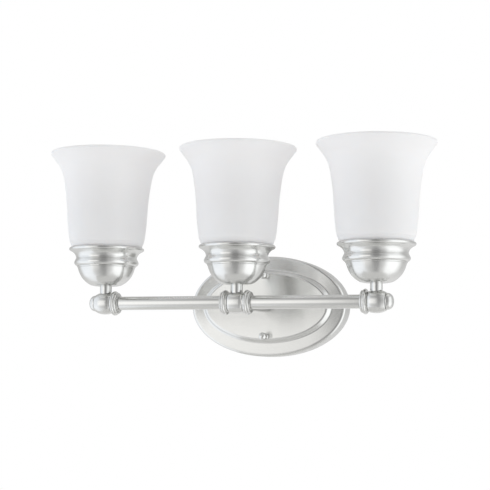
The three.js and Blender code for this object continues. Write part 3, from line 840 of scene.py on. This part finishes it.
# ---- Screw shells, contacts and retaining rings ----
# Shells are rolled from thin aluminium with the lamp's thread, the contact is a brass rivet, and the
# ring is pressed aluminium with a notched edge for the fingers. It screws on over the glass.
# Pressed aluminium: pale and fairly bright, with faint draw marks round it.
def pressed_aluminium():
    made, shader = material("aluminium_pressed", Metallic=1.0)
    tree = made.node_tree
    marks = grain_round_axis(tree, 0.9)
    tint = node(tree, "ShaderNodeValToRGB", {"Fac": marks})
    tint.color_ramp.elements[0].color = linear("#d5d7d9")
    tint.color_ramp.elements[1].color = linear("#e6e7e8")
    tree.links.new(tint.outputs["Color"], shader.inputs["Base Color"])
    shine = node(tree, "ShaderNodeMapRange", {"Value": marks, "To Min": 0.2, "To Max": 0.36})
    tree.links.new(shine.outputs[0], shader.inputs["Roughness"])
    return made


# Pressed brass: warm yellow, bright where tools have rubbed it and browner in between.
def pressed_brass():
    made, shader = material("brass_pressed", Metallic=1.0)
    tree = made.node_tree
    place = node(tree, "ShaderNodeTexCoord").outputs["Object"]
    tarnish = node(tree, "ShaderNodeTexNoise", {"Vector": place, "Scale": 1 / (3 * MM), "Detail": 5})
    tint = node(tree, "ShaderNodeValToRGB", {"Fac": tarnish.outputs["Fac"]})
    tint.color_ramp.elements[0].color = linear("#b98f4a")
    tint.color_ramp.elements[1].color = linear("#e3c07a")
    tree.links.new(tint.outputs["Color"], shader.inputs["Base Color"])
    shine = node(tree, "ShaderNodeMapRange", {
        "Value": tarnish.outputs["Fac"], "To Min": 0.18, "To Max": 0.42,
    })
    tree.links.new(shine.outputs[0], shader.inputs["Roughness"])
    return made


aluminium = pressed_aluminium()
brass = pressed_brass()
refinish(brass, *("socket_contact_" + name for name in NAMES))
LAMP_PITCH = 3.629
shell_thread = (51, 75)
shell_outline = [
    (7.5, 49.8), (13.6, 49.8), *threaded_stretch(14.05, *shell_thread, LAMP_PITCH, 8), (14.1, 75.5),
    (13.5, 75.5), *reversed(threaded_stretch(13.6, *shell_thread, LAMP_PITCH, 8)), (13.3, 50.6), (7.5, 50.6),
]
ring_bore, flange_radius = socket_radius + 0.35, 25.5


def notched(r, angle, h):
    """A shape for turned(): finger notches round the ring's flange."""
    if r > flange_radius - 1:
        r -= 0.7 * max(0.0, math.cos(angle * 24)) ** 3
    return (r * math.cos(angle), r * math.sin(angle), h)


for name in NAMES:
    screw_shell = turned(
        "screw_shell_" + name, shell_outline, lamp_place(name), UP, 64, 40,
        thread(50, 75.2, LAMP_PITCH, 0.35),
    )
    finish_piece(screw_shell, aluminium, "fixture", "aluminium_shell", "socket_shell_" + name)
    seat, top = ((end.z - bar_centre.z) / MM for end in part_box("retaining_ring_" + name))
    outline = eased([
        (ring_bore, seat), (flange_radius, seat, 0.4), (flange_radius, seat + 1.9, 0.5),
        (23.2, seat + 2.3, 0.8), (22.7, top, 0.6), (ring_bore, top, 0.4),
    ])
    ring = turned("shade_ring_" + name, outline, lamp_place(name), UP, 192, 32, notched)
    finish_piece(ring, aluminium, "clamp_" + name, "aluminium_shell", "retaining_ring_" + name)


# ---- Shades ----
# Blown opal glass bells, 3.4 mm thick, with a flat floor and a fitter hole. They are dipped in acid
# to a satin surface, and their rims are fire-polished round.
# Etched opal glass: milk white all through, so that light spreads inside it, under a silky surface.
def etched_opal():
    made, shader = material(
        "opal_glass_etched", Roughness=0.46, IOR=1.5, Subsurface_Weight=0.55, Subsurface_Scale=0.006,
        Subsurface_Radius=(1.0, 0.93, 0.88),
    )
    tree = made.node_tree
    place = node(tree, "ShaderNodeTexCoord").outputs["Object"]
    cloud = node(tree, "ShaderNodeTexNoise", {"Vector": place, "Scale": 1 / (45 * MM), "Detail": 2})
    tint = node(tree, "ShaderNodeValToRGB", {"Fac": cloud.outputs["Fac"]})
    tint.color_ramp.elements[0].color = linear("#f3f1f1")
    tint.color_ramp.elements[1].color = linear("#f8f7f7")
    tree.links.new(tint.outputs["Color"], shader.inputs["Base Color"])
    etch = node(tree, "ShaderNodeTexNoise", {"Vector": place, "Scale": 1 / (0.5 * MM), "Detail": 2})
    relief = node(tree, "ShaderNodeBump", {
        "Height": etch.outputs["Fac"], "Strength": 0.05, "Distance": 0.05 * MM,
    })
    tree.links.new(relief.outputs[0], shader.inputs["Normal"])
    return made


opal = etched_opal()
glass_floor = (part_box("shade_centre")[0].z - bar_centre.z) / MM
glass_wall = 3.4
fitter_hole, floor_round = 21, 6
bell = [
    (43.6, 72), (44.9, 75), (46.2, 83.3), (47.8, 99), (49.1, 120), (51.5, 140.4), (54.4, 155.5),
    (58.9, 165.6), (64.2, 173), (68.5, 178.6), (69.2, 180),
]
bell_path = [(fitter_hole, glass_floor), (30, glass_floor)]
bell_path += arc(36.8, glass_floor + floor_round, floor_round, -90, -8, 10) + flowing(bell, 8)
shade_outline = shell(bell_path, glass_wall)
for name in NAMES:
    shade = turned("bell_glass_" + name, shade_outline, lamp_place(name), UP, 160, 38)
    finish_piece(shade, opal, "glass_" + name, "opal_glass", "shade_" + name)


# ---- Bulbs ----
# Medium screw-base bulbs: a frosted envelope cemented into a rolled brass cap.
# Frosted bulb glass: white powder-coated inside, so it looks softly white with a smooth gloss.
def frosted_glass():
    made, shader = material(
        "bulb_glass_frosted", Roughness=0.22, IOR=1.5, Subsurface_Weight=0.4, Subsurface_Scale=0.004,
        Coat_Weight=0.2,
    )
    tree = made.node_tree
    place = node(tree, "ShaderNodeTexCoord").outputs["Object"]
    powder = node(tree, "ShaderNodeTexNoise", {"Vector": place, "Scale": 1 / (14 * MM), "Detail": 3})
    tint = node(tree, "ShaderNodeValToRGB", {"Fac": powder.outputs["Fac"]})
    tint.color_ramp.elements[0].color = linear("#edeae3")
    tint.color_ramp.elements[1].color = linear("#f6f4ef")
    tree.links.new(tint.outputs["Color"], shader.inputs["Base Color"])
    return made


frosted = frosted_glass()
bulb_tip = (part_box("bulb_base_centre")[0].z - bar_centre.z) / MM
bulb_radius, crown = 30.0, 128.0
cap_top = 79.4
envelope_outline = [(0, 70), (11.7, 70), (11.9, cap_top), (12.3, cap_top + 1)]
envelope_outline += flowing([(12.6, 82), (14.4, 88), (18.6, 98), (23.8, 109), (28.0, 118)])
envelope_outline += arc(0, crown, bulb_radius, -14, 90, 24)
envelope_outline[-1] = (0, crown + bulb_radius)
cap_outline = [(0, bulb_tip), (3.2, bulb_tip), (4, bulb_tip + 0.5), (4.6, bulb_tip + 2)]
cap_outline += [(8.6, bulb_tip + 3.6), (11.6, bulb_tip + 5.6)]
cap_outline += threaded_stretch(12.9, 58.2, 74.5, LAMP_PITCH, 8)
cap_outline += [(12.5, 75.5), (12.6, cap_top - 0.3), (12.3, cap_top), (0, cap_top)]
for name in NAMES:
    cap = turned(
        "bulb_cap_" + name, cap_outline, lamp_place(name), UP, 72, 45, thread(57.5, 75, LAMP_PITCH, 1.0)
    )
    finish_piece(cap, brass, "lamp_" + name, "brass_contact", "bulb_base_" + name)
    envelope = turned("bulb_envelope_" + name, envelope_outline, lamp_place(name), UP, 72)
    finish_piece(envelope, frosted, "lamp_" + name, "bulb_glass", "bulb_glass_" + name)


# ---- Lead wires ----
# Each lamp's two wires are twisted together and run down its stem, along the bar, back through the
# arm and out into the plate's hollow, where their ends are stripped for the splice.
# PVC wire insulation: extruded, smooth and slightly waxy, in the two standard colours.
def insulation(name, dark, light):
    made, shader = material(name, Roughness=0.38)
    tree = made.node_tree
    place = node(tree, "ShaderNodeTexCoord").outputs["Object"]
    scuff = node(tree, "ShaderNodeTexNoise", {"Vector": place, "Scale": 1 / (4 * MM), "Detail": 3})
    tint = node(tree, "ShaderNodeValToRGB", {"Fac": scuff.outputs["Fac"]})
    tint.color_ramp.elements[0].color = linear(dark)
    tint.color_ramp.elements[1].color = linear(light)
    tree.links.new(tint.outputs["Color"], shader.inputs["Base Color"])
    return made


# Stripped copper strands, twisted and lightly tinned.
def stripped_copper():
    made, shader = material("copper_tinned", Metallic=1.0, Roughness=0.35)
    tree = made.node_tree
    place = node(tree, "ShaderNodeTexCoord").outputs["Object"]
    strand = node(tree, "ShaderNodeTexWave", {"Vector": place, "Scale": 1 / (2 * MM), "Distortion": 1.0})
    tint = node(tree, "ShaderNodeValToRGB", {"Fac": strand.outputs["Fac"]})
    tint.color_ramp.elements[0].color = linear("#8f5a3c")
    tint.color_ramp.elements[1].color = linear("#d9a27c")
    tree.links.new(tint.outputs["Color"], shader.inputs["Base Color"])
    return made


wire_colours = {
    "black": insulation("pvc_black", "#17171a", "#26262a"),
    "white": insulation("pvc_white", "#dcdad3", "#ecebe6"),
}
copper = stripped_copper()
lamp_reach = lamp_place("right").x / MM
bar_reach = -bar_centre.y / MM


def side_route(side):
    """The route of a side lamp's wires, in mm: across, out from the wall, and up from the bar's axis."""
    return [(side * x, -y, z + bar_centre.z / MM) for x, y, z in (
        (lamp_reach, bar_reach, 44), (lamp_reach, bar_reach, 30), (lamp_reach, bar_reach, 9),
        (lamp_reach - 1.3, bar_reach, 3.4), (lamp_reach - 4.6, bar_reach, 0.5),
        (lamp_reach - 12, bar_reach, 0), (lamp_reach / 2, bar_reach, 0), (12, bar_reach, 0),
        (5.6, bar_reach - 0.9, -0.5), (2.5, bar_reach - 4.4, 0), (1.9, bar_reach - 12, 0.4),
        (1.9, bar_reach - 20, 0.4), (1.9, 26, 0.4), (1.9, 21, 0.4), (3.6, 16, -4), (10, 11, -13),
        (15, 9, -31),
    )]


centre_route = [(x, -y, z + bar_centre.z / MM) for x, y, z in (
    (0, bar_reach, 44), (0, bar_reach, 30), (0, bar_reach, 10), (0, bar_reach - 1.2, 5.4),
    (0, bar_reach - 4.6, 3.7), (0, bar_reach - 12, 3.6), (0, bar_reach - 20, 3.6), (0, 26, 3.6),
    (0, 21, 3.6), (2, 16, 6.4), (7, 11, 15), (9, 9, 33),
)]
TWIST = 14.0
WIRE_RADIUS = 0.72
WIRE_STEP = 1.6
STRIPPED_STEPS = 6


def strand(name, points, radius):
    """A round wire through points in mm, as a mesh with closed ends."""
    curve = bpy.data.curves.new(name, "CURVE")
    curve.dimensions = "3D"
    curve.bevel_depth = radius * MM
    curve.bevel_resolution = 3
    curve.use_fill_caps = True
    spline = curve.splines.new("POLY")
    spline.points.add(len(points) - 1)
    for point, p in zip(spline.points, points):
        point.co = (p[0] * MM, p[1] * MM, p[2] * MM, 1)
    holder = bpy.data.objects.new(name + "_path", curve)
    bpy.context.scene.collection.objects.link(holder)
    mesh = bpy.data.meshes.new_from_object(holder.evaluated_get(bpy.context.evaluated_depsgraph_get()))
    bpy.data.objects.remove(holder)
    mesh.polygons.foreach_set("use_smooth", [True] * len(mesh.polygons))
    return bpy.data.objects.new(name, mesh)


def even_steps(points, step):
    """The same line in equal steps."""
    made, left = [points[0]], step
    for a, b in zip(points, points[1:]):
        gap = (b - a).length
        while gap >= left:
            made.append(a.lerp(b, left / gap) if gap else b)
            left += step
        left -= gap
    return made


for name, route in (("left", side_route(-1)), ("centre", centre_route), ("right", side_route(1))):
    line = even_steps([Vector(p) for p in flowing(route, 24)], WIRE_STEP)
    sideways = Vector((0, 1, 0))
    pair = {colour: [] for colour in wire_colours}
    for i, point in enumerate(line):
        way = (line[min(i + 1, len(line) - 1)] - line[max(i - 1, 0)]).normalized()
        sideways = (sideways - way * sideways.dot(way)).normalized()
        other = way.cross(sideways)
        angle = 2 * math.pi * i * WIRE_STEP / TWIST
        offset = (sideways * math.cos(angle) + other * math.sin(angle)) * WIRE_RADIUS
        pair["black"].append(point + offset)
        pair["white"].append(point - offset)
    for colour, points in pair.items():
        wire = strand("wire_" + name + "_" + colour, points[:-STRIPPED_STEPS], WIRE_RADIUS)
        finish_piece(wire, wire_colours[colour], "fixture", "wire_insulation", "lead_" + name)
        bare = strand("wire_end_" + name + "_" + colour, points[-STRIPPED_STEPS - 1:], WIRE_RADIUS * 0.6)
        finish_piece(bare, copper, "fixture", "wire_insulation")
